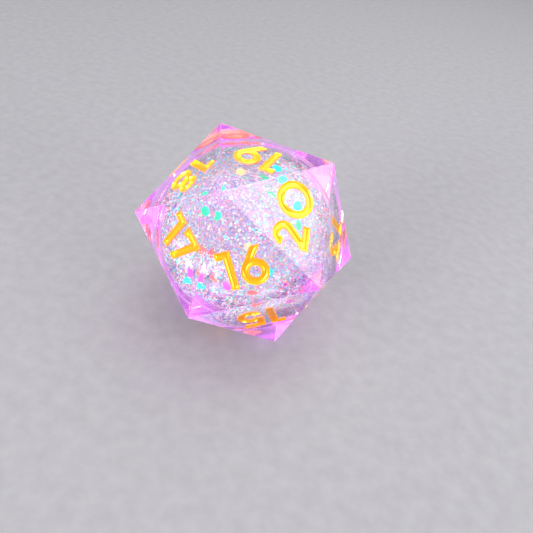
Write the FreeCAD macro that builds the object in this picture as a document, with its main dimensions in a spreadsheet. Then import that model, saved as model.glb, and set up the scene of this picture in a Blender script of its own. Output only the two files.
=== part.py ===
import FreeCAD, Part
import os
from math import asin, cos, degrees, pi, radians, sin, sqrt
from FreeCAD import Placement, Rotation, Vector

# A liquid-core spindown d20: a sharp-edged clear resin icosahedron cast round a sealed
# ball of liquid and glitter, with painted numerals engraved in its twenty faces.
# +Z is up and the origin is the centre of the face that the die rests on. -Y is the
# side towards which the corner shared by the faces 16 to 20 leans.

doc = FreeCAD.newDocument("polyhedral_die")

# ---------------------------------------------------------------- driving sizes, mm

SIZES = {
    "face_to_face": 40.0,      # the die's height when it rests on a face
    "tip_to_tip": 50.0,        # across two opposite corners, after the tips are blunted
    "core_outer": 33.0,        # outside diameter of the clear ball that holds the liquid
    "core_inner": 31.4,        # its inside diameter
    "lap_diameter": 32.2,      # where the two halves of the ball step past each other
    "lap_height": 1.0,
    "plug_outer": 3.0,         # the sealed filling hole, a little tapered
    "plug_inner": 2.4,
    "plug_clear": 0.1,         # how far the plug's cutter starts outside the ball
    "liquid_gap": 0.15,        # between the turning liquid and the ball's wall
    "bubble_wide": 6.4,        # the air bubble, flattened under the top of the ball
    "bubble_tall": 2.6,
    "bubble_rise": 0.3,        # how far its top is cut past the wall
    "flake_across": 2.3,       # corner to corner of a hexagonal flake
    "flake_thick": 0.15,
    "numeral_height": 7.9,
    "numeral_stroke": 1.45,
    "pocket_depth": 0.8,       # of the engraving
    "paint_recess": 0.3,       # of the paint's surface, below the face
    "tool_clear": 1.0,         # how far the engraving tool stands above the face
}

sheet = doc.addObject("Spreadsheet::Sheet", "Sizes")
for row, (name, value) in enumerate(SIZES.items(), start=1):
    sheet.set(f"A{row}", name)
    sheet.set(f"B{row}", str(value))
    sheet.setAlias(f"B{row}", name)
doc.recompute()

UP = Vector(0, 0, 1)
GOLDEN = (1 + sqrt(5)) / 2
INRADIUS_PER_EDGE = GOLDEN ** 2 / (2 * sqrt(3))
edge = sheet.face_to_face / (2 * INRADIUS_PER_EDGE)
inradius = sheet.face_to_face / 2
centre = Vector(0, 0, inradius)


def bound(kind, name, **sizes):
    """Adds a primitive or boolean and binds each size to its expression."""
    thing = doc.addObject(kind, name)
    for size, expression in sizes.items():
        thing.setExpression(size, expression)
    return thing


def at_centre(thing):
    """Puts a primitive's own origin at the middle of the die."""
    thing.setExpression("Placement.Base.z", "Sizes.face_to_face / 2")
    return thing


def cut(name, base, tool):
    thing = doc.addObject("Part::Cut", name)
    thing.Base = base
    thing.Tool = tool
    return thing


def common(name, base, tool):
    thing = doc.addObject("Part::Common", name)
    thing.Base = base
    thing.Tool = tool
    return thing


def group(name, members):
    thing = doc.addObject("Part::Compound", name)
    thing.Links = members
    return thing


# ---------------------------------------------------------------- corners and faces

# Measured from the middle of the die. The five corners round the north corner are its
# ring, and each corner has another straight across the die.
face_corner = edge / sqrt(3)
north = Vector(0, -face_corner, inradius)
first_in_ring = Vector(-edge / 2, face_corner / 2, inradius)
ring = [Rotation(north, -72 * k).multVec(first_in_ring) for k in range(5)]
opposite = [-ring[(k + 3) % 5] for k in range(5)]
south = -north

# Each face is the corner that its numeral's top points to, then the other two. The
# numbers run as on a spindown die, each one beside the next.
faces = {}
for k in range(5):
    after = (k + 1) % 5
    faces[(19, 20, 16, 17, 18)[k]] = (north, ring[k], ring[after])
    faces[(11, 13, 15, 7, 9)[k]] = (opposite[k], ring[k], ring[after])
    faces[(12, 14, 6, 8, 10)[k]] = (ring[after], opposite[k], opposite[after])
    faces[(3, 4, 5, 1, 2)[k]] = (south, opposite[k], opposite[after])


def face_placement(top, left, right):
    """The middle of a face, with +Z out of it and +Y towards its numeral's top."""
    middle = (top + left + right) * (1 / 3)
    upward = (top - middle).normalize()
    outward = Vector(middle).normalize()
    sideways = upward.cross(outward)
    return Placement(centre + middle, Rotation(sideways, upward, outward, "ZYX"))


# ---------------------------------------------------------------- the solid die

# An icosahedron is what ten slabs share, one for each pair of opposite faces.
def slab(number):
    box = bound("Part::Box", f"slab_{number}", Length="Sizes.face_to_face * 2",
                Width="Sizes.face_to_face * 2", Height="Sizes.face_to_face")
    turn = face_placement(*faces[number]).Rotation
    corner = Vector(-sheet.face_to_face, -sheet.face_to_face, -inradius)
    box.Placement = Placement(centre + turn.multVec(corner), turn)
    return box


solid_die = at_centre(bound("Part::Sphere", "blunt_tips", Radius="Sizes.tip_to_tip / 2"))
for number in (11, 12, 13, 14, 15, 16, 17, 18, 19, 20):
    solid_die = common(f"sliced_{number}", solid_die, slab(number))

# ---------------------------------------------------------------- numeral strokes

# Digits are drawn on a grid whose unit is the numeral's height, with the baseline at
# y = 0 and the digit's left side at x = 0.
WEIGHT = sheet.numeral_stroke / sheet.numeral_height
HALF = WEIGHT / 2
GAP = 0.14
UNDERLINE_DROP = 0.22
UNDERLINE_WEIGHT = 0.12


def point(x, y):
    return Vector(x, y, 0)


def bar(start, end, weight=WEIGHT):
    """A straight stroke, cut square at both ends."""
    along = (end - start).normalize()
    side = UP.cross(along) * (weight / 2)
    outline = [start + side, start - side, end - side, end + side, start + side]
    return Part.Face(Part.makePolygon(outline))


def arc(middle, radius, start_angle, end_angle):
    """A round stroke along a circle of the given centre-line radius."""
    outer = Part.makeCircle(radius + HALF, middle, UP, start_angle, end_angle)
    inner = Part.makeCircle(radius - HALF, middle, UP, start_angle, end_angle)
    ends = [Part.makeLine(inner.Vertexes[i].Point, outer.Vertexes[i].Point) for i in (0, -1)]
    return Part.Face(Part.Wire(Part.__sortEdges__([outer, ends[0], inner, ends[1]])))


def oval(middle, half_width, half_height):
    """A filled oval, given by half its size each way."""
    wide = point(half_width, 0)
    tall = point(0, half_height)
    long_side, short_side = (wide, tall) if half_width > half_height else (tall, wide)
    if half_width == half_height:
        rim = Part.Circle(middle, UP, half_width).toShape()
    else:
        rim = Part.Ellipse(middle + long_side, middle + short_side, middle).toShape()
    return Part.Face(Part.Wire(rim))


def loop(middle, half_width, half_height):
    """A closed oval stroke as a filled oval and the eye to cut out of it."""
    outside = oval(middle, half_width, half_height)
    eye = oval(middle, half_width - WEIGHT, half_height - WEIGHT)
    return outside, eye


def rotated(vector, angle):
    return Rotation(UP, angle).multVec(vector)


def join(strokes, width, eyes=()):
    """Strokes fused into one flat shape, with eyes cut out, trimmed to the digit's frame."""
    shape = strokes[0]
    if len(strokes) > 1:
        shape = shape.multiFuse(strokes[1:]).removeSplitter()
    for eye in eyes:
        shape = shape.cut(eye)
    return shape.common(Part.makePlane(width, 1.0))


def digit_0():
    width = 0.94
    outside, eye = loop(point(width / 2, 0.5), width / 2, 0.5)
    return width, outside.cut(eye)


def digit_1():
    width = 0.38
    flag = bar(point(0, 1 - HALF), point(width, 1 - HALF))
    stem = bar(point(width - HALF, 0), point(width - HALF, 1))
    return width, join([flag, stem], width)


def digit_2():
    width = 0.61
    hook_radius = width / 2 - HALF
    hook_middle = point(width / 2, 1 - width / 2)
    slope = -41
    hook = arc(hook_middle, hook_radius, slope, 170)
    leaves_hook = hook_middle + rotated(point(hook_radius, 0), slope)
    reach = (leaves_hook.y - HALF) / cos(radians(slope))
    foot = leaves_hook + rotated(point(0, -reach), slope)
    base = bar(point(0, HALF), point(width, HALF))
    return width, join([hook, bar(leaves_hook, foot), base], width)


def digit_3():
    width = 0.65
    bowl_radius = 0.31 - HALF
    bowl = arc(point(0.33, 0.31), bowl_radius, -150, 100)
    roof = bar(point(0.05, 1 - HALF), point(0.60, 1 - HALF))
    slant = bar(point(0.57, 0.95), point(0.29, 0.53))
    return width, join([bowl, slant, roof], width)


def digit_4():
    width = 0.74
    slant = bar(point(0.50, 1.1), point(0.07, 0.27))
    crossbar = bar(point(0, 0.30), point(width, 0.30))
    stem = bar(point(0.53, 0), point(0.53, 0.54))
    return width, join([slant, crossbar, stem], width)


def digit_5():
    width = 0.66
    bowl = arc(point(width / 2, width / 2), width / 2 - HALF, -157, 147)
    back = bar(point(0.135, 1), point(0.10, 0.45))
    roof = bar(point(0.05, 1 - HALF), point(0.58, 1 - HALF))
    return width, join([bowl, back, roof], width)


def digit_6():
    width = 0.69
    radius = width / 2 - HALF
    middle = point(width / 2, width / 2)
    top = point(0.49, 1.0)
    towards = middle - top
    lean = -degrees(asin(radius / towards.Length))
    reach = sqrt(towards.Length ** 2 - radius ** 2)
    run = rotated(Vector(towards).normalize(), lean)
    slant = bar(top - run * WEIGHT, top + run * reach)
    outside, eye = loop(middle, width / 2, width / 2)
    return width, join([outside, slant], width, [eye])


def digit_7():
    width = 0.62
    roof = bar(point(0, 1 - HALF), point(width, 1 - HALF))
    serif = bar(point(0.08, 0.95), point(0.05, 0.76), 0.15)
    slant = bar(point(0.11, -0.1), point(0.58, 1.1))
    return width, join([roof, serif, slant], width)


def digit_8():
    width = 0.67
    lower, lower_eye = loop(point(width / 2, 0.30), width / 2, 0.30)
    upper, upper_eye = loop(point(width / 2, 0.762), 0.275, 0.238)
    return width, join([lower, upper], width, [lower_eye, upper_eye])


def digit_9():
    width, shape = digit_6()
    shape.rotate(point(width / 2, 0.5), UP, 180)
    return width, shape


DIGITS = {
    "0": digit_0, "1": digit_1, "2": digit_2, "3": digit_3, "4": digit_4,
    "5": digit_5, "6": digit_6, "7": digit_7, "8": digit_8, "9": digit_9,
}


def numeral_outline(number):
    """The flat shape of a numeral, in millimetres, centred on the origin."""
    shapes = []
    pen = 0.0
    for character in str(number):
        width, shape = DIGITS[character]()
        shape.translate(point(pen, 0))
        shapes.append(shape)
        pen += width + GAP
    total = pen - GAP
    if number in (6, 9):
        line = point(0, -UNDERLINE_DROP)
        shapes.append(bar(line, line + point(total, 0), UNDERLINE_WEIGHT))
    outline = Part.makeCompound(shapes)
    outline.translate(point(-total / 2, -0.5))
    return outline.scaled(sheet.numeral_height)


# ---------------------------------------------------------------- engraving and paint

pockets = []
numerals = []
for number, corners in sorted(faces.items()):
    outline = doc.addObject("Part::Feature", f"outline_{number:02d}")
    outline.Shape = numeral_outline(number)

    pocket = bound("Part::Extrusion", f"pocket_{number:02d}", LengthFwd="Sizes.tool_clear",
                   LengthRev="Sizes.pocket_depth")
    paint = bound("Part::Extrusion", f"numeral_{number:02d}", LengthFwd="-Sizes.paint_recess",
                  LengthRev="Sizes.pocket_depth")
    for extrusion in (pocket, paint):
        extrusion.Base = outline
        extrusion.DirMode = "Custom"
        extrusion.Dir = UP
        extrusion.Solid = True
        extrusion.Placement = face_placement(*corners)
    pockets.append(pocket)
    numerals.append(paint)

core_space = at_centre(bound("Part::Sphere", "core_space", Radius="Sizes.core_outer / 2"))
die_body = cut("die_body", solid_die, group("engraving_and_core", pockets + [core_space]))

# ---------------------------------------------------------------- the ball and its plug

ball_inside = at_centre(bound("Part::Sphere", "ball_inside", Radius="Sizes.core_inner / 2"))
ball_wall = cut("ball_wall", core_space, ball_inside)

# The lower half is what lies below the middle, and its inner step rises into the upper.
below = bound("Part::Cylinder", "below_middle", Radius="Sizes.core_outer",
              Height="Sizes.core_outer")
below.setExpression("Placement.Base.z", "Sizes.face_to_face / 2 - Sizes.core_outer")
step = at_centre(bound("Part::Cylinder", "lap_step", Radius="Sizes.lap_diameter / 2",
                       Height="Sizes.lap_height"))
lower_side = doc.addObject("Part::Fuse", "lower_side")
lower_side.Base = below
lower_side.Tool = step

# The filling hole is at the bottom pole, and its plug is what sets in it.
plug_taper = bound("Part::Cone", "plug_taper", Radius1="Sizes.plug_outer / 2",
                   Radius2="Sizes.plug_inner / 2",
                   Height="Sizes.core_outer - Sizes.core_inner")
plug_taper.setExpression("Placement.Base.z",
                         "(Sizes.face_to_face - Sizes.core_outer) / 2 - Sizes.plug_clear")

core_shell_upper = cut("core_shell_upper", ball_wall, lower_side)
lower_wall = common("lower_wall", ball_wall, lower_side)
core_shell_lower = cut("core_shell_lower", lower_wall, plug_taper)
fill_plug = common("fill_plug", ball_wall, plug_taper)

# ---------------------------------------------------------------- flakes in the liquid

# Directions from the core's middle: degrees round from +X, degrees up, and how far
# below the ball's wall the flake floats.
PLACED_FLAKES = {
    "aqua": [(41, 73, 2.0), (-4, 52, 1.4), (-104, -17, 1.1)],
    "green": [(-110, 47.5, 1.1), (-17, 39, 1.4), (-24, 76, 4.0)],
    "pink": [(-102, -6, 1.0), (-79, -6, 1.4), (-134, 7, 1.1)],
    "coral": [(-92, -5, 1.9), (-58, -9, 1.4)],
    "cream": [(-125, 74, 1.9)],
    "lilac": [(100, 25, 1.6)],
}
SPIRAL_COUNT = 44
SPIRAL_DEPTHS = (2.2, 3.4, 2.8)
SPIRAL_TOP = 40                # degrees up; few of the large flakes float higher
GOLDEN_ANGLE = 360 * (2 - GOLDEN)
LEAN_STEP = 37                 # each next flake leans a different way
LEAN = 24


def flake_spot(azimuth, elevation, depth):
    out = sheet.core_inner / 2 - depth
    flat = out * cos(radians(elevation))
    return Vector(flat * cos(radians(azimuth)), flat * sin(radians(azimuth)),
                  out * sin(radians(elevation)))


def flake(name, spot, turn):
    """A thin hexagon facing outwards, leaning a little to one side."""
    prism = bound("Part::Prism", name, Circumradius="Sizes.flake_across / 2",
                  Height="Sizes.flake_thick")
    prism.Polygon = 6
    outward = Rotation(UP, spot)
    lean = Rotation(Vector(cos(radians(turn)), sin(radians(turn)), 0), LEAN)
    prism.Placement = Placement(centre + spot, outward * lean)
    return prism


spots = []
flakes = {}
for colour, places in PLACED_FLAKES.items():
    flakes[colour] = []
    for place in places:
        spots.append((colour, flake_spot(*place)))

# The rest follow a golden spiral round the core, clear of the ones already placed.
colours = list(PLACED_FLAKES)
for k in range(SPIRAL_COUNT):
    rise = degrees(asin(1 - (2 * k + 1) / SPIRAL_COUNT))
    depth = SPIRAL_DEPTHS[k % len(SPIRAL_DEPTHS)]
    spot = flake_spot(k * GOLDEN_ANGLE, rise, depth)
    crowded = min((spot - other).Length for _, other in spots) < 1.3 * sheet.flake_across
    if rise < SPIRAL_TOP and not crowded:
        spots.append((colours[k % len(colours)], spot))

for k, (colour, spot) in enumerate(spots):
    flakes[colour].append(flake(f"flake_{k:02d}", spot, k * LEAN_STEP))

flake_groups = [group(f"flakes_{colour}", members) for colour, members in flakes.items()]

# ---------------------------------------------------------------- the liquid

liquid_ball = at_centre(bound("Part::Sphere", "liquid_ball",
                              Radius="Sizes.core_inner / 2 - Sizes.liquid_gap"))
bubble = bound("Part::Ellipsoid", "air_bubble", Radius1="Sizes.bubble_tall / 2",
               Radius2="Sizes.bubble_wide / 2", Radius3="Sizes.bubble_wide / 2")
bubble.setExpression("Placement.Base.z", "(Sizes.face_to_face + Sizes.core_inner) / 2"
                     " + Sizes.bubble_rise - Sizes.bubble_tall / 2")
core_liquid = cut("core_liquid", liquid_ball, group("bubble_and_flakes", [bubble] + flake_groups))

doc.recompute()

# ---------------------------------------------------------------- checks and export

parts = [die_body, core_shell_upper, core_shell_lower, fill_plug, core_liquid]
parts += flake_groups + numerals

for thing in doc.Objects:
    if "Invalid" in thing.State or "Error" in thing.State:
        raise RuntimeError(f"{thing.Name} did not recompute: {thing.State}")

os.makedirs("parts", exist_ok=True)
for thing in parts:
    if thing.Shape.isNull() or not thing.Shape.isValid():
        raise RuntimeError(f"{thing.Label} has no valid shape")
    thing.Shape.exportStep(f"parts/{thing.Label}.step")
    print(thing.Label, round(thing.Shape.Volume, 3), len(thing.Shape.Solids))
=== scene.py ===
import math
import random

import bmesh
import bpy
import numpy as np
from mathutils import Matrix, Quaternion, Vector
from mathutils.geometry import delaunay_2d_cdt


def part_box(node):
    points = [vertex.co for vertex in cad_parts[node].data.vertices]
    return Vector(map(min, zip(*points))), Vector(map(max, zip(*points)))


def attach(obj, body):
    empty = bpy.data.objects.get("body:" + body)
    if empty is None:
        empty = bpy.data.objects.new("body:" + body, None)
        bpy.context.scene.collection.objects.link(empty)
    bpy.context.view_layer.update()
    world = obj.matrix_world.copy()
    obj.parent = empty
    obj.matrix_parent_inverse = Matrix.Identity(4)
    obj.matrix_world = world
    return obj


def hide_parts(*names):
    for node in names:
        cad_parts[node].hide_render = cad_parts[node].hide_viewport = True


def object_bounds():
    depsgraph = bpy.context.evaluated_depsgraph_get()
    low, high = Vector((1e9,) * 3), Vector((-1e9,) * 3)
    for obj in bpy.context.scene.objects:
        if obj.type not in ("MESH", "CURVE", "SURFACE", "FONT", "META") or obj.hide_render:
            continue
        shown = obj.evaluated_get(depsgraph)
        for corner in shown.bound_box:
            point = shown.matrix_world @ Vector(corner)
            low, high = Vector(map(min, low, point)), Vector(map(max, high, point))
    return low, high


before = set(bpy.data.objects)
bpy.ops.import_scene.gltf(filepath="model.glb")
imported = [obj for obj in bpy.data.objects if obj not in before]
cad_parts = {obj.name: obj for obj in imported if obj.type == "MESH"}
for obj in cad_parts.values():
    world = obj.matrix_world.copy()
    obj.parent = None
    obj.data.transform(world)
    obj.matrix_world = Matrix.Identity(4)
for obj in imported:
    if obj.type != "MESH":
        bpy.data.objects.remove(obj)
cad_low, cad_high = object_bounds()

# A liquid-core die: a sharp-edged resin icosahedron cast round a clear ball of liquid and
# glitter. All lengths are metres, in the row frame: the die rests on z = 0.
MM = 0.001

# ------------------------------------------------------------------ sizes from the frame

GOLDEN = (1 + math.sqrt(5)) / 2
INRADIUS_PER_EDGE = GOLDEN ** 2 / (2 * math.sqrt(3))
INRADIUS = (cad_high.z - cad_low.z) / 2
EDGE = INRADIUS / INRADIUS_PER_EDGE
CENTRE = Vector((0, 0, INRADIUS))


def half_width(node):
    low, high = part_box(node)
    return (high.x - low.x) / 2


BALL_OUTSIDE = half_width("core_shell_lower")
LIQUID_RADIUS = half_width("core_liquid")
PLUG_RADIUS = half_width("fill_plug")
LIQUID_GAP = 0.15 * MM
BALL_INSIDE = LIQUID_RADIUS + LIQUID_GAP

EDGE_WEAR = 0.14 * MM          # how far the polish rounds the sharp edges
POCKET_DEPTH = 0.80 * MM
PAINT_DEPTH = 0.55 * MM        # of the paint's hollow in the middle of a stroke
PAINT_WALL = 0.66 * MM         # how far from a stroke's side the hollow levels out
BUBBLE_HALF_WIDTH = 3.1 * MM
BUBBLE_HALF_HEIGHT = 1.2 * MM
DYE_FROM = 19.0 * MM           # out from the middle, where the dye begins to deepen
DYE_TO = 23.0 * MM
# painted glow: how many times stronger the resin's emission is at the bottom than at the top,
# to light the lower corners
PAINTED_GLOW_AT_BOTTOM = 3.7              # how much brighter it glows at the bottom than at the top
CAST_WAVE = 9 * MM             # from crest to crest of the faint ripple in cast resin
SHARP = math.radians(40)       # edges that turn more than this are shaded as sharp
TINY = 1e-9

# ------------------------------------------------------------------ materials


def colour(code):
    """An sRGB hex value as linear RGBA."""
    channels = [int(code[i:i + 2], 16) / 255 for i in (0, 2, 4)]
    linear = [c / 12.92 if c <= 0.04045 else ((c + 0.055) / 1.055) ** 2.4 for c in channels]
    return (*linear, 1.0)


def add(tree, kind, inputs=None, **settings):
    """Adds a node with its settings; each input is a value, or a socket to link."""
    node = tree.nodes.new(kind)
    for name, value in settings.items():
        setattr(node, name, value)
    for name, value in (inputs or {}).items():
        if isinstance(value, bpy.types.NodeSocket):
            tree.links.new(value, node.inputs[name])
        else:
            node.inputs[name].default_value = value
    return node


def new_material(name):
    material = bpy.data.materials.new(name)
    material.use_nodes = True
    material.node_tree.nodes.clear()
    return material, material.node_tree


def finish_material(tree, surface, volume=None):
    links = {"Surface": surface}
    if volume is not None:
        links["Volume"] = volume
    add(tree, "ShaderNodeOutputMaterial", links)


def ramp(tree, factor, stops, interpolation="LINEAR"):
    node = add(tree, "ShaderNodeValToRGB", {"Fac": factor})
    node.color_ramp.interpolation = interpolation
    elements = node.color_ramp.elements
    while len(elements) < len(stops):
        elements.new(0.5)
    for element, (position, code) in zip(elements, stops):
        element.position = position
        element.color = colour(code)
    return node.outputs["Color"]


def clear_medium(name, ior, tint, bump_mm, dye=None):
    """A clear solid or liquid that lamps reach through. A dye is what its depth takes from
    the light and what it glows with, each with how strongly, per metre, near the ball and
    out at the corners. The glow is painted light: an emission in the medium, made stronger
    towards the bottom, that brightens the corners as lamp light would."""
    material, tree = new_material(name)
    coordinates = add(tree, "ShaderNodeTexCoord").outputs["Object"]
    waves = add(tree, "ShaderNodeTexNoise",
                {"Vector": coordinates, "Scale": 1 / CAST_WAVE, "Detail": 1.0})
    ripple = add(tree, "ShaderNodeBump",
                 {"Height": waves.outputs["Fac"], "Strength": 1.0, "Distance": bump_mm * MM})
    glass = add(tree, "ShaderNodeBsdfGlass", {"Color": colour(tint), "Roughness": 0.0,
                "IOR": ior, "Normal": ripple.outputs["Normal"]})
    passing = add(tree, "ShaderNodeBsdfTransparent", {"Color": colour(tint)})
    lamp_ray = add(tree, "ShaderNodeLightPath").outputs["Is Shadow Ray"]
    mixed = add(tree, "ShaderNodeMixShader", {"Fac": lamp_ray, 1: glass.outputs[0],
                                              2: passing.outputs[0]})
    depth = None
    if dye:
        out = add(tree, "ShaderNodeVectorMath", {0: coordinates, 1: CENTRE},
                  operation="DISTANCE").outputs["Value"]

        def pooled(near, far):
            return add(tree, "ShaderNodeMapRange", {
                "Value": out, "From Min": DYE_FROM, "From Max": DYE_TO, "To Min": near,
                "To Max": far}, interpolation_type="SMOOTHSTEP").outputs[0]

        (taken_code, taken_rates), (painted_glow_code, painted_glow_rates) = dye
        height = add(tree, "ShaderNodeSeparateXYZ", {0: coordinates}).outputs["Z"]
        # painted glow: an emission in the resin, stronger out in the corners and towards the
        # bottom, in place of light
        painted_glow_by_height = add(tree, "ShaderNodeMapRange", {
            "Value": height, "From Min": 0.0, "From Max": 2 * INRADIUS,
            "To Min": PAINTED_GLOW_AT_BOTTOM, "To Max": 1.0}).outputs[0]
        painted_glow = add(tree, "ShaderNodeMath", {0: pooled(*painted_glow_rates), 1: painted_glow_by_height},
                   operation="MULTIPLY").outputs[0]
        taken = add(tree, "ShaderNodeVolumeAbsorption",
                    {"Color": colour(taken_code), "Density": pooled(*taken_rates)})
        painted_glow_shader = add(tree, "ShaderNodeEmission",
                    {"Color": colour(painted_glow_code), "Strength": painted_glow})
        depth = add(tree, "ShaderNodeAddShader", {0: taken.outputs[0], 1: painted_glow_shader.outputs[0]})
        depth = depth.outputs[0]
    finish_material(tree, mixed.outputs[0], depth)
    return material


# Each IOR is measured against what lies round it: the ball's resin at 1.48 inside the
# die's at 1.52, the oil at 1.455 inside the ball's, and the air inside the oil.

# Epoxy casting resin with a violet dye, sanded to sharp edges and polished: clear and
# glossy, nearly colourless across a face, vivid magenta in the corners. A painted glow,
# an emission in the resin, adds to the magenta in the corners, most at the bottom.
RESIN = clear_medium("epoxy_resin_cast_and_polished", 1.52, "FEFAFF", 0.002,
                     (("F8AAFF", (3.0, 54.0)), ("E87CFF", (2.5, 37.0))))

# The ball is a clear resin with no dye, left as moulded, so only its rims show.
BALL_RESIN = clear_medium("epoxy_resin_ball_as_moulded", 0.975, "FFFFFF", 0.001)

# Clear carrier oil: it bends light a little less than resin, so the ball's edge is seen.
OIL = clear_medium("carrier_oil_clear", 0.982, "FFFFFF", 0.0005)

# Air trapped in the oil: a bright ring with a dark edge.
AIR = clear_medium("air_in_oil", 0.69, "FFFFFF", 0.0005)


PAINT_UNEVEN = 0.3             # of the paint's whole range of shades


def gold_paint():
    """Metallic acrylic paint, brushed into the engraving and wiped: glossy golden yellow
    where it is thin and level, warm orange where it pools or stands up the side. It also
    has painted shade: warmer and more orange on a numeral whose face turns away from
    straight up, as if less light fell on it."""
    material, tree = new_material("acrylic_paint_gold_wiped")
    # the attribute holds how deep the paint pools plus painted shade for faces turned away from
    # straight up
    depth = add(tree, "ShaderNodeAttribute", attribute_name="paint_pool_and_painted_shade").outputs["Fac"]
    coordinates = add(tree, "ShaderNodeTexCoord").outputs["Object"]
    grain = add(tree, "ShaderNodeTexNoise",
                {"Vector": coordinates, "Scale": 1 / (0.5 * MM), "Detail": 3.0})
    uneven = add(tree, "ShaderNodeMath", {0: grain.outputs["Fac"], 1: PAINT_UNEVEN,
                                           2: -PAINT_UNEVEN / 2},
                 operation="MULTIPLY_ADD").outputs[0]
    shade = add(tree, "ShaderNodeMath", {0: depth, 1: uneven}, operation="ADD").outputs[0]
    base = ramp(tree, shade, [(0.0, "FFE430"), (0.4, "FFD020"), (0.7, "FFBA10"),
                              (1.0, "FFA808")])
    ripple = add(tree, "ShaderNodeBump", {"Height": grain.outputs["Fac"], "Strength": 0.6,
                                          "Distance": 0.03 * MM})
    surface = add(tree, "ShaderNodeBsdfPrincipled", {
        "Base Color": base, "Metallic": 0.6, "Roughness": 0.30, "Coat Weight": 0.4,
        "Coat Roughness": 0.08, "Normal": ripple.outputs["Normal"]})
    finish_material(tree, surface.outputs[0])
    return material


def paint_underside():
    """The same paint seen from its back, inside the die, in the corners: a flat, matt, coral
    orange copy with no metal, which is painted light: it looks lit there, where the glossy
    front paint would look dark."""
    material, tree = new_material("acrylic_paint_gold_back_matt_painted_lit")
    coordinates = add(tree, "ShaderNodeTexCoord").outputs["Object"]
    streaks = add(tree, "ShaderNodeTexNoise",
                  {"Vector": coordinates, "Scale": 1 / (0.7 * MM), "Detail": 2.0})
    # painted light: matt coral with no metal, so the back looks lit inside the die
    base = ramp(tree, streaks.outputs["Fac"], [(0.3, "FF8C40"), (0.7, "FFA858")])
    surface = add(tree, "ShaderNodeBsdfPrincipled", {"Base Color": base, "Roughness": 0.6})
    finish_material(tree, surface.outputs[0])
    return material


FILM_IOR_IN_OIL = 1.6 / 1.47
COATING_IOR = 1.8


def film_flake(name, codes, cell_mm, metallic, roughness, see_through, coating=None):
    """Iridescent polyester film, cut into flakes: a pastel that shifts from flake to flake,
    with a bright sheen. Some of the light, the see-through share, passes into the film.
    A coating is its thinnest and thickest, in nanometres, and gives the changing hues."""
    material, tree = new_material(name)
    coordinates = add(tree, "ShaderNodeTexCoord").outputs["Object"]
    cells = add(tree, "ShaderNodeTexVoronoi",
                {"Vector": coordinates, "Scale": 1 / (cell_mm * MM)})
    hue = add(tree, "ShaderNodeSeparateColor", {0: cells.outputs["Color"]}).outputs[0]
    stops = [(i / max(1, len(codes) - 1), code) for i, code in enumerate(codes)]
    base = ramp(tree, hue, stops)
    inputs = {"Base Color": base, "Metallic": metallic, "Roughness": roughness,
              "IOR": FILM_IOR_IN_OIL}
    if coating:
        inputs["Thin Film IOR"] = COATING_IOR
        inputs["Thin Film Thickness"] = add(tree, "ShaderNodeMapRange", {
            "Value": hue, "To Min": coating[0], "To Max": coating[1]}).outputs[0]
    surface = add(tree, "ShaderNodeBsdfPrincipled", inputs)
    through = add(tree, "ShaderNodeBsdfTranslucent", {"Color": base})
    film = add(tree, "ShaderNodeMixShader", {"Fac": see_through, 1: surface.outputs[0],
                                             2: through.outputs[0]})
    finish_material(tree, film.outputs[0])
    return material


# ------------------------------------------------------------------ mesh helpers


def place_piece(name, mesh, material, body):
    mesh.materials.append(material)
    piece = bpy.data.objects.new(name, mesh)
    bpy.context.scene.collection.objects.link(piece)
    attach(piece, body)
    return piece


def new_piece(name, vertices, faces, material, body, smooth=False):
    mesh = bpy.data.meshes.new(name)
    mesh.from_pydata([tuple(v) for v in vertices], [], faces)
    if smooth:
        mesh.shade_smooth()
    return place_piece(name, mesh, material, body)


def bmesh_piece(name, bm, material, body, smooth=False):
    """A piece made of a bmesh, which is used up."""
    mesh = bpy.data.meshes.new(name)
    bm.to_mesh(mesh)
    bm.free()
    if smooth:
        mesh.shade_smooth()
    return place_piece(name, mesh, material, body)


def lathe(profile, steps, closed=True):
    """Vertices and faces turned about the vertical through CENTRE. A profile point is
    (radius, height above CENTRE); one with no radius becomes a pole."""
    vertices, rings, faces = [], [], []
    for radius, height in profile:
        if radius < TINY:
            rings.append([len(vertices)] * steps)
            vertices.append(CENTRE + Vector((0, 0, height)))
            continue
        rings.append(list(range(len(vertices), len(vertices) + steps)))
        for i in range(steps):
            turn = 2 * math.pi * i / steps
            vertices.append(CENTRE + Vector((radius * math.cos(turn),
                                             radius * math.sin(turn), height)))
    pairs = list(zip(rings, rings[1:]))
    if closed:
        pairs.append((rings[-1], rings[0]))
    for low, high in pairs:
        for i in range(steps):
            j = (i + 1) % steps
            corners = [low[i], low[j], high[j], high[i]]
            distinct = list(dict.fromkeys(corners))
            if len(distinct) > 2:
                faces.append(distinct)
    return vertices, faces


def arc_profile(radius, start, end, steps):
    """Points of an arc about CENTRE, by degrees up from the equator."""
    angles = [math.radians(start + (end - start) * i / steps) for i in range(steps + 1)]
    return [(radius * math.cos(a), radius * math.sin(a)) for a in angles]


# ------------------------------------------------------------------ corners and faces

FACE_CORNER = EDGE / math.sqrt(3)
NORTH = Vector((0, -FACE_CORNER, INRADIUS))
FIRST = Vector((-EDGE / 2, FACE_CORNER / 2, INRADIUS))
FIFTH_OF_TURN = -72             # degrees
FACES_OUT = 0.999              # how nearly a face must look straight out of the die


def die_corners():
    ring = [Quaternion(NORTH.normalized(), math.radians(FIFTH_OF_TURN * k)) @ FIRST
            for k in range(5)]
    near_half = [NORTH] + ring
    return near_half + [-corner for corner in near_half]


def face_basis(outward):
    """Two directions in a face that make a right-handed set with its normal."""
    sideways = outward.cross(Vector((0, 0, 1)))
    if sideways.length < 1e-4:
        sideways = Vector((1, 0, 0))
    sideways.normalize()
    return sideways, outward.cross(sideways)


def flat(point, basis):
    """A point of a face in its own two directions, in millimetres."""
    return np.array(((point - CENTRE).dot(basis[0]), (point - CENTRE).dot(basis[1]))) / MM


def raised(spot, basis, outward, depth):
    """The place of a flat spot, at a depth below the face."""
    x, y = spot[0] * MM, spot[1] * MM
    return CENTRE + basis[0] * x + basis[1] * y + outward * (INRADIUS - depth)


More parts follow.
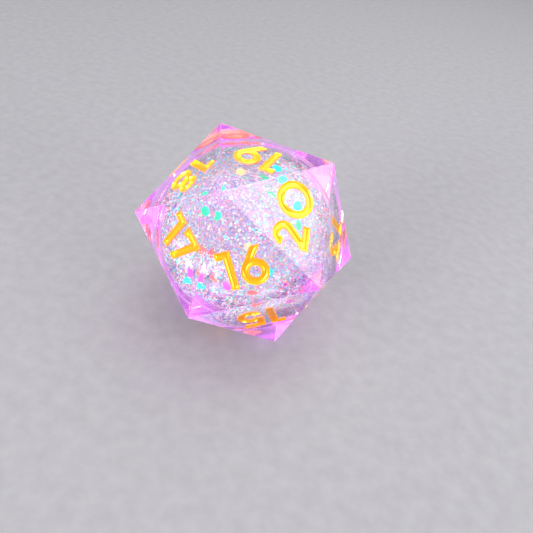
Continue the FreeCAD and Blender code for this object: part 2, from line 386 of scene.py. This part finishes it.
def numeral_loops(node, outward, basis):
    """The outline loops of a numeral's outer surface, as flat millimetre points."""
    mesh = node.data
    spots, count = {}, {}
    for polygon in mesh.polygons:
        if polygon.normal.dot(outward) < FACES_OUT:
            continue
        keys = []
        for index in polygon.vertices:
            spot = flat(mesh.vertices[index].co, basis)
            key = (round(spot[0], 4), round(spot[1], 4))
            spots[key] = spot
            keys.append(key)
        for a, b in zip(keys, keys[1:] + keys[:1]):
            if a != b:
                pair = (a, b) if (b, a) not in count else (b, a)
                count[pair] = count.get(pair, 0) + 1
    after = {a: b for (a, b), uses in count.items() if uses == 1}
    loops = []
    while after:
        start = next(iter(after))
        loop, key = [], start
        while key in after:
            loop.append(spots[key])
            key = after.pop(key)
        loops.append(loop)
    return loops


def subdivided(loop, spacing):
    points = []
    for a, b in zip(loop, loop[1:] + loop[:1]):
        parts = max(1, math.ceil(np.linalg.norm(b - a) / spacing))
        points += [a + (b - a) * (i / parts) for i in range(parts)]
    return points


def inside(spots, loops):
    """Which spots lie inside the loops, a hole counting as outside."""
    spots = np.asarray(spots)
    crossings = np.zeros(len(spots), dtype=int)
    for loop in loops:
        start = np.asarray(loop)
        end = np.roll(start, -1, axis=0)
        for (ax, ay), (bx, by) in zip(start, end):
            straddles = (ay > spots[:, 1]) != (by > spots[:, 1])
            if straddles.any():
                at = ax + (spots[:, 1] - ay) * (bx - ax) / (by - ay)
                crossings += straddles & (spots[:, 0] < at)
    return crossings % 2 == 1


def side_distance(spots, loops):
    """How far each spot is from the nearest outline, in millimetres."""
    spots = np.asarray(spots)
    best = np.full(len(spots), np.inf)
    for loop in loops:
        start = np.asarray(loop)
        end = np.roll(start, -1, axis=0)
        for a, b in zip(start, end):
            along = b - a
            share = np.clip((spots - a) @ along / (along @ along), 0, 1)
            gap = spots - a - share[:, None] * along
            best = np.minimum(best, np.hypot(gap[:, 0], gap[:, 1]))
    return best


def triangulated(loops, extra=()):
    """Triangles that fill the loops, with the extra spots as further corners. The first
    vertices are the loops' own, in order."""
    spots, edges = [], []
    for loop in loops:
        first = len(spots)
        spots += list(loop)
        edges += [(first + i, first + (i + 1) % len(loop)) for i in range(len(loop))]
    spots += list(extra)
    made = delaunay_2d_cdt([Vector(s) for s in spots], edges, [], 0, 1e-6)
    placed = np.array([tuple(v) for v in made[0]])
    triangles = [face for face in made[2] if len(face) == 3]
    middles = placed[np.array(triangles)].mean(axis=1)
    kept = [t for t, keep in zip(triangles, inside(middles, loops)) if keep]
    return placed, kept


# ------------------------------------------------------------------ resin body and paint

GRID = 0.16                    # of the paint's mesh, millimetres
GRID_ROW = 0.87 * GRID         # between rows, so that its triangles are nearly equal-sided
GRID_CLEAR = 0.45 * GRID       # kept clear of the outline, so that no triangle is a sliver
DISH_STEEPNESS = 2.2           # how sharply the hollow falls from a stroke's side
RIM_GAP = 0.02 * MM
PAINT_BACKING = 0.03           # how far the paint's back stands past the pocket, mm
PAINT_CREASE = math.radians(50)
POOLED_SHADE = 0.3             # how much warmer the paint is where it pools
# painted shade: the paint is made warmer on faces turned away from straight up, in place of the
# light from above
PAINTED_SHADE_LOW_FACE = 0.75          # and how much warmer on a face turned away from straight up
BACK_SHADE = 0.5


def paint_grid(fine):
    """Staggered spots inside the outline, for the dished front."""
    every = np.concatenate([np.asarray(loop) for loop in fine])
    low, high = every.min(axis=0), every.max(axis=0)
    rows = np.arange(low[1], high[1], GRID_ROW)
    grid = np.array([(x + (GRID / 2 if k % 2 else 0), y) for k, y in enumerate(rows)
                     for x in np.arange(low[0], high[0], GRID)])
    grid = grid[inside(grid, fine)]
    return grid[side_distance(grid, fine) > GRID_CLEAR]


def moved_into_resin(loop, fine):
    """A loop's points moved a hair out of the pocket, square to the outline."""
    points = np.asarray(loop)
    ahead = np.roll(points, -1, axis=0) - points
    behind = points - np.roll(points, 1, axis=0)
    along = ahead / np.linalg.norm(ahead, axis=1)[:, None]
    along += behind / np.linalg.norm(behind, axis=1)[:, None]
    away = np.stack([along[:, 1], -along[:, 0]], axis=1)
    away /= np.maximum(np.linalg.norm(away, axis=1)[:, None], TINY)
    moved = points + away * PAINT_BACKING
    if inside(moved[:1], fine)[0]:
        moved = points - away * PAINT_BACKING
    return moved


def paint_piece(name, loops, basis, outward, front, underside):
    """The painted hollow of one numeral: a dished front, and a back that lines the pocket."""
    fine = [subdivided(loop, GRID) for loop in loops]
    placed, triangles = triangulated(fine, paint_grid(fine))
    reach = np.clip(side_distance(placed, fine) * MM / PAINT_WALL, 0, 1)
    dish = 1 - (1 - reach) ** DISH_STEEPNESS

    vertices = [raised(s, basis, outward, RIM_GAP + d * PAINT_DEPTH)
                for s, d in zip(placed, dish)]
    faces = [tuple(t) for t in triangles]
    # painted shade: each numeral's paint is warmer the further its face turns away from
    # straight up
    pool_and_painted_shades = list(POOLED_SHADE * dish + PAINTED_SHADE_LOW_FACE * (1 - outward.z))
    front_faces = len(faces)

    # The back: the outline moved a hair into the resin, then down past the pocket's floor.
    total = 0
    deepest = []
    for loop in fine:
        moved = moved_into_resin(loop, fine)
        n = len(moved)
        upper = len(vertices)
        vertices += [raised(s, basis, outward, 2 * RIM_GAP) for s in moved]
        lower = len(vertices)
        vertices += [raised(s, basis, outward, POCKET_DEPTH + RIM_GAP) for s in moved]
        deepest += range(lower, lower + n)
        pool_and_painted_shades += [BACK_SHADE] * (2 * n)
        for i in range(n):
            j = (i + 1) % n
            faces.append((total + i, upper + i, upper + j, total + j))
            faces.append((upper + i, lower + i, lower + j, upper + j))
        total += n
    for triangle in triangulated(fine)[1]:
        if max(triangle) < len(deepest):
            faces.append(tuple(deepest[i] for i in reversed(triangle)))

    piece = new_piece(name, vertices, faces, front, "die")
    mesh = piece.data
    mesh.materials.append(underside)
    for polygon in mesh.polygons[front_faces:]:
        polygon.material_index = 1
    attribute = mesh.attributes.new("paint_pool_and_painted_shade", "FLOAT", "POINT")
    attribute.data.foreach_set("value", pool_and_painted_shades)
    bm = bmesh.new()
    bm.from_mesh(mesh)
    bmesh.ops.recalc_face_normals(bm, faces=bm.faces)
    bm.to_mesh(mesh)
    bm.free()
    mesh.shade_smooth()
    mesh.set_sharp_from_angle(angle=PAINT_CREASE)
    return piece


WHOLE_FACE = 0.3 * EDGE * EDGE     # only the twenty faces, and no bevel, are this large


def resin_body(material, engraving):
    """The icosahedron with worn edges, its faces open where the numerals are engraved."""
    bm = bmesh.new()
    for corner in die_corners():
        bm.verts.new(CENTRE + corner)
    bmesh.ops.convex_hull(bm, input=bm.verts)
    bmesh.ops.bevel(bm, geom=bm.edges[:] + bm.verts[:], offset=EDGE_WEAR, segments=2,
                    profile=0.5, affect="EDGES", clamp_overlap=True)
    bm.normal_update()
    big = [f for f in bm.faces if f.calc_area() > WHOLE_FACE]
    for face in big:
        outward = face.normal.copy()
        match = max(engraving, key=lambda item: item[0].dot(outward))
        outward, basis, loops = match
        rim = list(face.verts)
        outline = [flat(v.co, basis) for v in rim]
        placed, triangles = triangulated([outline] + loops)
        verts = rim + [bm.verts.new(raised(s, basis, outward, 0)) for s in placed[len(rim):]]
        bm.faces.remove(face)
        for triangle in triangles:
            bm.faces.new([verts[i] for i in triangle])
        offset = len(rim)
        floor_spots, floor_triangles = triangulated(loops)
        floor = [bm.verts.new(raised(s, basis, outward, POCKET_DEPTH)) for s in floor_spots]
        for triangle in floor_triangles:
            bm.faces.new([floor[i] for i in triangle])
        start = 0
        for loop in loops:
            n = len(loop)
            for i in range(n):
                j = (i + 1) % n
                bm.faces.new([verts[offset + start + i], verts[offset + start + j],
                              floor[start + j], floor[start + i]])
            start += n
    bmesh.ops.recalc_face_normals(bm, faces=bm.faces)
    return bmesh_piece("resin_body", bm, material, "die")


def make_die_body():
    paint, underside = gold_paint(), paint_underside()
    corners = die_corners()
    outwards = []
    for number in range(1, 21):
        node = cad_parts[f"numeral_{number:02d}"]
        middle = sum((v.co for v in node.data.vertices), Vector()) / len(node.data.vertices)
        towards = (middle - CENTRE).normalized()
        near = sorted(corners, key=lambda c: -c.dot(towards))[:3]
        outwards.append(sum(near, Vector()).normalized())
    engraving = []
    for number, outward in enumerate(outwards, start=1):
        name = f"numeral_{number:02d}"
        basis = face_basis(outward)
        loops = numeral_loops(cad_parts[name], outward, basis)
        engraving.append((outward, basis, loops))
        piece = paint_piece(f"paint_{number:02d}", loops, basis, outward, paint, underside)
        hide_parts(name)
    body = resin_body(RESIN, engraving)
    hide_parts("die_body")


make_die_body()

# ------------------------------------------------------------------ the ball

STEPS = 96
ARC_STEPS = 40
PLUG_ARC_STEPS = 6
PLUG_RADIUS_INSIDE = 1.3 * MM  # the plug tapers from the ball's outside to its inside
PLUG_GAP = 0.05                # between the plug and its hole, in degrees round the ball
LAP_RADIUS = (BALL_OUTSIDE + BALL_INSIDE) / 2
LAP_HEIGHT = 1.0 * MM
SEAM = 0.01 * MM


def make_ball():
    def angle(radius, height):
        return math.degrees(math.asin(height / radius))

    upper = arc_profile(BALL_OUTSIDE, angle(BALL_OUTSIDE, SEAM), 90, ARC_STEPS)
    upper += arc_profile(BALL_INSIDE, 90, angle(BALL_INSIDE, LAP_HEIGHT + SEAM), ARC_STEPS)
    upper += [(LAP_RADIUS + SEAM, LAP_HEIGHT + SEAM), (LAP_RADIUS + SEAM, SEAM)]
    hole = math.degrees(math.acos(PLUG_RADIUS / BALL_OUTSIDE))
    hole_inside = math.degrees(math.acos(PLUG_RADIUS_INSIDE / BALL_INSIDE))
    lower = arc_profile(BALL_OUTSIDE, -hole, 0, ARC_STEPS)
    lower += [(LAP_RADIUS, 0), (LAP_RADIUS, LAP_HEIGHT)]
    lower += arc_profile(BALL_INSIDE, angle(BALL_INSIDE, LAP_HEIGHT), -hole_inside, ARC_STEPS)
    plug = arc_profile(BALL_OUTSIDE, -90, -hole - PLUG_GAP, PLUG_ARC_STEPS)
    plug += arc_profile(BALL_INSIDE, -hole_inside - PLUG_GAP, -90, PLUG_ARC_STEPS)
    for name, profile in (("core_shell_upper", upper), ("core_shell_lower", lower),
                          ("fill_plug", plug)):
        vertices, faces = lathe(profile, STEPS)
        piece = new_piece("clear_" + name, vertices, faces, BALL_RESIN, "die", smooth=True)
        piece.data.set_sharp_from_angle(angle=SHARP)
        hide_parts(name)


make_ball()

# ------------------------------------------------------------------ liquid, bubble, flakes

BUBBLE_DEPTH = 0.35 * MM       # of the bubble's top, below the ball's wall
BUBBLE_CENTRE = BALL_INSIDE - BUBBLE_DEPTH - BUBBLE_HALF_HEIGHT
BUBBLE_TOP_FLATTENED = 0.75    # the bubble presses flat against the wall above it
LIQUID_ARC_STEPS = 64
BUBBLE_ARC_STEPS = 32
BUBBLE_STEPS = 64


def make_liquid():
    vertices, faces = lathe(arc_profile(LIQUID_RADIUS, -90, 90, LIQUID_ARC_STEPS), STEPS,
                            closed=False)
    liquid = new_piece("swirling_oil", vertices, faces, OIL, "liquid", smooth=True)
    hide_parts("core_liquid")
    profile = []
    for i in range(BUBBLE_ARC_STEPS + 1):
        a = math.radians(-90 + 180 * i / BUBBLE_ARC_STEPS)
        flatter = BUBBLE_TOP_FLATTENED if a > 0 else 1.0
        profile.append((BUBBLE_HALF_WIDTH * math.cos(a),
                        BUBBLE_CENTRE + BUBBLE_HALF_HEIGHT * flatter * math.sin(a)))
    vertices, faces = lathe(profile, BUBBLE_STEPS, closed=False)
    bubble = new_piece("air_bubble", vertices, faces, AIR, "liquid", smooth=True)


make_liquid()

FLAKES = {
    "aqua": ("00E8E0", "00F8E8", "10ECF4"),
    "green": ("00E090", "08F0A0", "38F0B4"),
    "pink": ("F860C8", "FF88DC", "E050E0"),
    "coral": ("FF8868", "FFA080", "FF7090"),
    "cream": ("F8D880", "F8D8A8", "E8E8A0"),
    "lilac": ("9C88F0", "9090F0", "B888F0"),
}
FILM = 0.06 * MM               # how thick the cut film is
CURL = 0.10 * MM               # how far a flake's rim bends out of flat
SADDLE = 0.4                   # how much of the curl bends back the other way
BEND_STEP = 37                 # degrees; each next flake curls along another line
FLAKE_CELL = 1.1               # of the patches of one hue, millimetres
NEAR_WALL = LIQUID_RADIUS - 1.95 * MM
FLAKE_CLEARING = 1.35 * MM     # round a flake near the wall, where no fine glitter hides it


def loose_parts(mesh):
    """The corner points of each separate solid in a mesh, in the same order each time."""
    bm = bmesh.new()
    bm.from_mesh(mesh)
    bmesh.ops.remove_doubles(bm, verts=bm.verts, dist=1e-6)
    left, parts = dict.fromkeys(bm.verts), []
    while left:
        stack, found = [left.popitem()[0]], []
        while stack:
            vert = stack.pop()
            found.append(vert.co.copy())
            for edge in vert.link_edges:
                other = edge.other_vert(vert)
                if other in left:
                    del left[other]
                    stack.append(other)
        parts.append(found)
    bm.free()
    return parts


def cut_flake(points, middle, bend):
    """A hexagon of film, curled a little, in place of the solid with these corners."""
    spread = np.array([tuple(q - middle) for q in points])
    thin = Vector(np.linalg.svd(spread)[2][2])
    across = points[0] - middle
    across -= thin * across.dot(thin)
    beside = thin.cross(across)
    sheet = bmesh.new()
    rim = [sheet.verts.new(across * math.cos(math.radians(60 * i))
                           + beside * math.sin(math.radians(60 * i)))
           for i in range(6)]
    hub = sheet.verts.new((0, 0, 0))
    for i in range(6):
        sheet.faces.new((hub, rim[i], rim[(i + 1) % 6]))
    bmesh.ops.subdivide_edges(sheet, edges=sheet.edges[:], cuts=3, use_grid_fill=True)
    reach = across.length
    for vert in sheet.verts:
        u = vert.co.dot(across) / reach ** 2
        v = vert.co.dot(beside) / reach ** 2
        along = u * math.cos(bend) + v * math.sin(bend)
        vert.co += thin * CURL * (along ** 2 - SADDLE * (u * u + v * v))
    bmesh.ops.solidify(sheet, geom=sheet.faces[:], thickness=FILM)
    for vert in sheet.verts:
        vert.co += middle
    made = bpy.data.meshes.new("flake")
    sheet.to_mesh(made)
    sheet.free()
    return made


def make_flakes():
    """The large flakes, in the places the frame gives. Returns the clearing round each one
    near the wall: its direction, its distance from the middle, and the cosine of its reach."""
    clearings = []
    for tint, codes in FLAKES.items():
        node = f"flakes_{tint}"
        material = film_flake(f"polyester_film_{tint}_cut", codes, FLAKE_CELL, metallic=0.0,
                              roughness=0.5, see_through=0.4)
        bm = bmesh.new()
        for k, points in enumerate(loose_parts(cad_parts[node].data)):
            middle = sum(points, Vector()) / len(points)
            made = cut_flake(points, middle, math.radians(BEND_STEP * k))
            bm.from_mesh(made)
            bpy.data.meshes.remove(made)
            out = middle - CENTRE
            if out.length > NEAR_WALL:
                clearings.append((out.normalized(), out.length,
                                  math.cos(FLAKE_CLEARING / out.length)))
        piece = bmesh_piece(f"film_flakes_{tint}", bm, material, "liquid", smooth=True)
        piece.data.set_sharp_from_angle(angle=SHARP)
        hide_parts(node)
    return clearings


# Fine glitter: thousands of hexagons, most of them under half a millimetre across and a
# few up to 0.9, lying nearer the wall than the middle. Each tint has its hues and count.
SPECKS = {
    "white": (("F4FFF0", "E0F8EC", "FBFFE6"), 11500),
    "pink": (("FFA4D0", "FFC8E0", "FF84C4"), 7400),
    "aqua": (("88F4F4", "64ECE8", "B8FAF4"), 7000),
    "lilac": (("CCC0F4", "B8AEEC", "E0D8F4"), 4200),
    "blue": (("A0C4FA", "84ACF4", "C8E0FC"), 4400),
    "mint": (("A0F8C8", "78F0AC", "C8FCDC"), 5200),
    "coral": (("FFB890", "FFD8A0", "FF9A84"), 5400),
}
SPECK_RADIUS = 0.20 * MM
SPECK_HALF_THICK = 0.03 * MM
GLITTER_CELL = 0.9             # of the patches of one hue, millimetres
COATING_NM = (320.0, 560.0)
SHALLOWEST = 0.35 * MM         # of a speck's middle, below the liquid's surface
DEEPEST = 4.0 * MM             # further down than that
TOWARDS_WALL = 1.6             # the higher, the more of the glitter lies near the wall
BUBBLE_CLEAR = 0.3 * MM
LIES_FLAT = 1.8                # how strongly a speck lies along the wall
SMALLEST_SPECK = 0.65          # sizes are shares of SPECK_RADIUS
SPECK_SPREAD = 0.5
RARELY = 12                    # the higher, the fewer of the specks are large
THIN_AT = 12 * MM              # from the middle, towards THINNEST, where least is left
THIN_OVER = 13 * MM
LEAST_GLITTER = 0.13
THINNING_STEEPNESS = 1.3
THINNEST = Vector((0.22, -0.60, 0.77)).normalized()     # where the swirl leaves least glitter


def random_direction(chance):
    return Vector([chance.gauss(0, 1) for _ in range(3)]).normalized()


def in_bubble(spot):
    beside = math.hypot(spot.x, spot.y) / (BUBBLE_HALF_WIDTH + BUBBLE_CLEAR)
    over = (spot.z - BUBBLE_CENTRE) / (BUBBLE_HALF_HEIGHT + BUBBLE_CLEAR)
    return beside ** 2 + over ** 2 < 1


def glitter_left(spot):
    """The share of the glitter that is left at a spot, measured from the middle."""
    thinning = (THIN_AT - spot.dot(THINNEST)) / THIN_OVER
    return LEAST_GLITTER + (1 - LEAST_GLITTER) * min(1, max(0, thinning)) ** THINNING_STEEPNESS


def make_specks():
    chance = random.Random(20)
    clearings = make_flakes()
    ring = [(math.cos(math.radians(60 * k)), math.sin(math.radians(60 * k)))
            for k in range(6)]
    for tint, (codes, count) in SPECKS.items():
        material = film_flake(f"polyester_glitter_{tint}_cut", codes, GLITTER_CELL,
                              metallic=0.08, roughness=0.5, see_through=0.6,
                              coating=COATING_NM)
        vertices, faces = [], []
        made = 0
        while made < count:
            out = random_direction(chance)
            below = SHALLOWEST + DEEPEST * chance.random() ** TOWARDS_WALL
            spot = out * (LIQUID_RADIUS - below)
            if in_bubble(spot):
                continue
            if any(out.dot(way) > reach and spot.length > distance
                   for way, distance, reach in clearings):
                continue
            if chance.random() > glitter_left(spot):
                continue
            made += 1
            facing = (out * LIES_FLAT + random_direction(chance)).normalized()
            side = facing.orthogonal().normalized()
            other = facing.cross(side)
            size = SPECK_RADIUS * (SMALLEST_SPECK + SPECK_SPREAD * chance.random()
                                   + chance.random() ** RARELY)
            first = len(vertices)
            middle = CENTRE + spot
            vertices += [middle + (side * x + other * y) * size for x, y in ring]
            vertices += [middle + facing * SPECK_HALF_THICK, middle - facing * SPECK_HALF_THICK]
            for k in range(6):
                j = (k + 1) % 6
                faces.append((first + k, first + j, first + 6))
                faces.append((first + j, first + k, first + 7))
        piece = new_piece(f"glitter_{tint}", vertices, faces, material, "liquid")


make_specks()


SETTLED_TO = 4.0 * MM          # from the middle, towards THINNEST; past it the glitter thins
FLATTENED = 0.6                # how much of the cloud's height past that is taken away
CLOUD_DEPTH = 2.6 * MM         # of the cloud, below the liquid's surface
CLOUD_CELL = 0.42 * MM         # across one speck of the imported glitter
CLOUD_LUMPS = 0.035            # of its radius
# painted shade: over this span, towards THINNEST, the cloud's colour turns dim
CLOUD_SHADE_FROM = 1 * MM             # from the middle, towards THINNEST
CLOUD_SHADE_TO = 8 * MM


def make_cloud():
    """The deep glitter, too dense to see between: one lumpy body under the loose specks.
    Towards THINNEST its colour turns to a painted shade of dim grey and lilac.
    """
    material, tree = new_material("polyester_glitter_packed")
    coordinates = add(tree, "ShaderNodeTexCoord").outputs["Object"]
    cells = add(tree, "ShaderNodeTexVoronoi",
                {"Vector": coordinates, "Scale": 1 / CLOUD_CELL})
    parts = add(tree, "ShaderNodeSeparateColor", {0: cells.outputs["Color"]})
    bright = ramp(tree, parts.outputs[0], [
        (0.0, "D8F0F0"), (0.2, "F8ECF0"), (0.4, "DCFCEC"), (0.6, "FCFCE4"),
        (0.8, "DCF2FC"), (1.0, "F8FFF6")])
    # painted shade: dim grey and lilac where the glitter is thin, in place of the shaded depth
    # of the liquid
    thinned_painted_shade = ramp(tree, parts.outputs[0], [
        (0.0, "707898"), (0.25, "9494AC"), (0.45, "B094AC"), (0.65, "88A8A8"),
        (0.85, "B0A4A4"), (1.0, "CCD0D0")])
    height = add(tree, "ShaderNodeVectorMath", {0: coordinates, 1: THINNEST},
                 operation="DOT_PRODUCT").outputs["Value"]
    level = CENTRE.dot(THINNEST)
    rise = add(tree, "ShaderNodeMapRange", {
        "Value": height, "From Min": level + CLOUD_SHADE_FROM, "From Max": level + CLOUD_SHADE_TO})
    base = add(tree, "ShaderNodeMix", {"Factor": rise.outputs[0], 6: bright, 7: thinned_painted_shade},
               data_type="RGBA").outputs[2]
    tilt = add(tree, "ShaderNodeBump", {"Height": parts.outputs[1], "Strength": 1.0,
                                        "Distance": 0.2 * MM})
    surface = add(tree, "ShaderNodeBsdfPrincipled", {
        "Base Color": base, "Metallic": 0.3, "Roughness": 0.35,
        "Normal": tilt.outputs["Normal"]})
    finish_material(tree, surface.outputs[0])
    bm = bmesh.new()
    bmesh.ops.create_icosphere(bm, subdivisions=5, radius=LIQUID_RADIUS - CLOUD_DEPTH)
    for v in bm.verts:
        a = v.co.normalized()
        lump = math.sin(9 * a.x + 2) * math.sin(8 * a.y + 1) * math.sin(10 * a.z)
        v.co *= 1 + CLOUD_LUMPS * lump
        over = v.co.dot(THINNEST) - SETTLED_TO
        if over > 0:
            v.co -= THINNEST * FLATTENED * over
        v.co += CENTRE
    piece = bmesh_piece("glitter_cloud", bm, material, "liquid", smooth=True)


make_cloud()

# ------------------------------------------------------------------ floor, light, camera


FLOOR_REACH = 3.0              # metres each way from the die


def make_floor():
    """Uncoated card: matt and even, with a faint mottle from its fibres. The mottle is
    drawn much coarser than real fibres, so that it shows."""
    material, tree = new_material("card_pale_matt")
    coordinates = add(tree, "ShaderNodeTexCoord").outputs["Object"]
    fibres = add(tree, "ShaderNodeTexNoise",
                 {"Vector": coordinates, "Scale": 1 / (3 * MM), "Detail": 4.0})
    base = ramp(tree, fibres.outputs["Fac"], [(0.3, "8F8E91"), (0.7, "979699")])
    surface = add(tree, "ShaderNodeBsdfPrincipled", {"Base Color": base, "Roughness": 0.8})
    finish_material(tree, surface.outputs[0])
    mesh = bpy.data.meshes.new("floor")
    r = FLOOR_REACH
    mesh.from_pydata([(-r, -r, 0), (r, -r, 0), (r, r, 0), (-r, r, 0)],
                     [], [(0, 1, 2, 3)])
    mesh.materials.append(material)
    floor = bpy.data.objects.new("floor", mesh)
    bpy.context.scene.collection.objects.link(floor)


def soft_light(name, towards, distance, size, watts):
    lamp = bpy.data.lights.new(name, "AREA")
    lamp.shape = "SQUARE"
    lamp.size = size
    lamp.energy = watts
    light = bpy.data.objects.new(name, lamp)
    towards = Vector(towards).normalized()
    light.location = CENTRE + towards * distance
    light.rotation_mode = "QUATERNION"
    light.rotation_quaternion = towards.to_track_quat("Z", "Y")
    bpy.context.scene.collection.objects.link(light)


def make_light():
    soft_light("top_softbox", (0.05, 0.45, 0.90), 0.55, 0.40, 1.9)
    soft_light("right_softbox", (0.71, 0.23, 0.67), 0.40, 0.16, 0.37)
    soft_light("left_softbox", (-0.75, -0.75, 0.75), 0.60, 0.30, 0.9)
    soft_light("low_softbox", (-0.36, -0.92, 0.17), 0.60, 0.24, 4.7)
    soft_light("side_softbox", (0.95, -0.20, 0.20), 0.60, 0.20, 1.7)
    world = bpy.data.worlds.new("studio")
    world.use_nodes = True
    tree = world.node_tree
    tree.nodes.clear()
    way = add(tree, "ShaderNodeTexCoord").outputs["Generated"]
    height = add(tree, "ShaderNodeSeparateXYZ", {0: way}).outputs["Z"]
    sky = ramp(tree, height, [(0.0, "A8A8B0"), (0.35, "C4C4CA"), (0.9, "F4F4F8")])
    background = add(tree, "ShaderNodeBackground", {"Color": sky, "Strength": 0.9})
    add(tree, "ShaderNodeOutputWorld", {"Surface": background.outputs[0]})
    bpy.context.scene.world = world


# The camera stands 4.64 edge lengths from the die's middle, and leans a little.
CAMERA_AZIMUTH = 22.86
CAMERA_ELEVATION = 37.6
CAMERA_EDGES_AWAY = 4.638
CAMERA_HEADING = 19.87
CAMERA_TILT = -40.48
CAMERA_ROLL = 9.6
SENSOR = 36.0
LENS = 37.1


def direction(azimuth, elevation):
    a, e = math.radians(azimuth), math.radians(elevation)
    return Vector((math.sin(a) * math.cos(e), -math.cos(a) * math.cos(e), math.sin(e)))


def make_camera():
    data = bpy.data.cameras.new("camera")
    data.sensor_width = SENSOR
    data.lens = LENS
    data.clip_start = 0.005
    data.clip_end = 20
    camera = bpy.data.objects.new("camera", data)
    distance = CAMERA_EDGES_AWAY * EDGE
    camera.location = CENTRE + direction(CAMERA_AZIMUTH, CAMERA_ELEVATION) * distance
    back = direction(CAMERA_HEADING, -CAMERA_TILT)
    camera.rotation_mode = "QUATERNION"
    upright = back.to_track_quat("Z", "Y")
    camera.rotation_quaternion = upright @ Quaternion((0, 0, 1), math.radians(CAMERA_ROLL))
    bpy.context.scene.collection.objects.link(camera)
    bpy.context.scene.camera = camera


make_floor()
make_light()
make_camera()
bpy.context.scene.view_settings.view_transform = "Standard"
